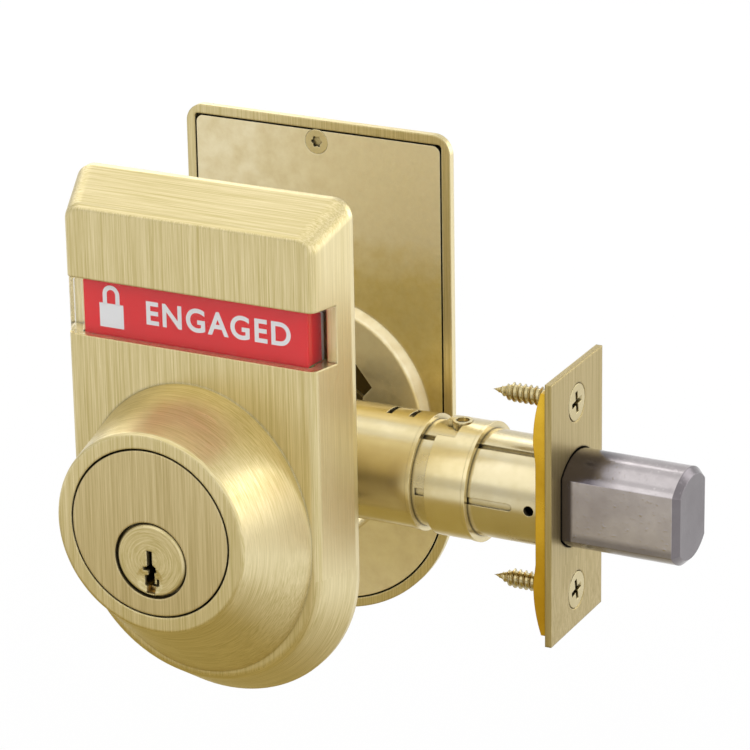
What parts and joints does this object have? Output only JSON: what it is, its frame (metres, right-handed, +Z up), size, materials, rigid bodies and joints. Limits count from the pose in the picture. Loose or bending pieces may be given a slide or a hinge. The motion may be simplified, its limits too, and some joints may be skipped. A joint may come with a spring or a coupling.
{
  "type": "indicator deadbolt",
  "caption": "Tubular deadbolt with a keyed outside cover whose sign window shows whether it is locked, a thumbturn inside and a rectangular faceplate; rack and pinion move the sign.",
  "frame": {"origin": "axis of the door's cross bore, in the plane of the door's outside face", "axes": "+X the way the bolt is thrown, towards the door's edge; +Y through the door from outside to inside; +Z up"},
  "size_m": [0.1265, 0.105, 0.1115],
  "materials": {
    "satin_brass": "satin, brushed along Z",
    "polished_brass": "polished",
    "bare_brass": "turned",
    "screw_brass": "bright plated",
    "inner_sheet": "unbrushed plating",
    "yellow_plating": "yellow zinc plating",
    "plated_sheet": "clear zinc plating",
    "bolt_steel": "satin plated",
    "bright_steel": "bright",
    "clear_lens": "clear moulded",
    "red_sign": "printed",
    "green_sign": "printed",
    "white_plastic": "moulded",
    "black_plastic": "moulded"
  },
  "bodies": {
    "lock": {"escutcheon": "satin_brass", "window_lens": "clear_lens", "indicator_back_plate": "plated_sheet", "back_plate_screws": "bright_steel", "cylinder_body": "satin_brass", "cylinder_screws": "bright_steel", "chamber_cap": "bare_brass", "driver_pins": "bare_brass", "pin_springs": "bright_steel", "rear_housing": "polished_brass", "front_barrel": "polished_brass", "collar_band": "polished_brass", "collar_rivet": "polished_brass", "backing_plate": "yellow_plating", "faceplate": "satin_brass", "faceplate_screws": "screw_brass", "inner_plate": "inner_sheet", "inside_cover": "satin_brass", "cover_screws": "screw_brass", "through_bolts": "screw_brass", "thumbturn_bushing": "black_plastic"},
    "spindle": {"pinion": "white_plastic", "tailpiece": "bright_steel", "crank": "bright_steel", "crank_pin": "bright_steel", "thumbturn": "satin_brass", "thumbturn_clip": "bright_steel"},
    "bolt": {"deadbolt": "bolt_steel", "bolt_tail": "bright_steel", "tail_rivet": "bright_steel"},
    "indicator": {"indicator_slide": "white_plastic", "locked_sign": "red_sign", "vacant_sign": "green_sign"},
    "key_plug": {"plug": "bare_brass", "plug_clip": "bright_steel", "bottom_pins": "bare_brass"},
    "roller": {"saw_roller": "bolt_steel"}
  },
  "joints": [
    {"name": "spindle_turn", "type": "hinge", "parent": "lock", "child": "spindle", "pos_m": [0, 0.02223, -0.0059], "axis": [0, -1, 0], "range_deg": [0, 90]},
    {"name": "bolt_slide", "type": "slide", "parent": "lock", "child": "bolt", "axis": [-1, 0, 0], "range_m": [0, 0.0254]},
    {"name": "indicator_slide", "type": "slide", "parent": "lock", "child": "indicator", "axis": [0, 0, 1], "range_m": [0, 0.01257]},
    {"name": "plug_turn", "type": "hinge", "parent": "lock", "child": "key_plug", "pos_m": [0, -0.015, -0.0059], "axis": [0, -1, 0], "range_deg": [-90, 90]},
    {"name": "roller_spin", "type": "hinge", "parent": "bolt", "child": "roller", "pos_m": [0.07, 0.02223, 0], "axis": [1, 0, 0], "continuous": true}
  ],
  "couplings": [
    {"joint": "spindle_turn", "follows": "bolt_slide", "rad_per_m": 61.842},
    {"joint": "indicator_slide", "follows": "bolt_slide", "ratio": 0.49474}
  ]
}
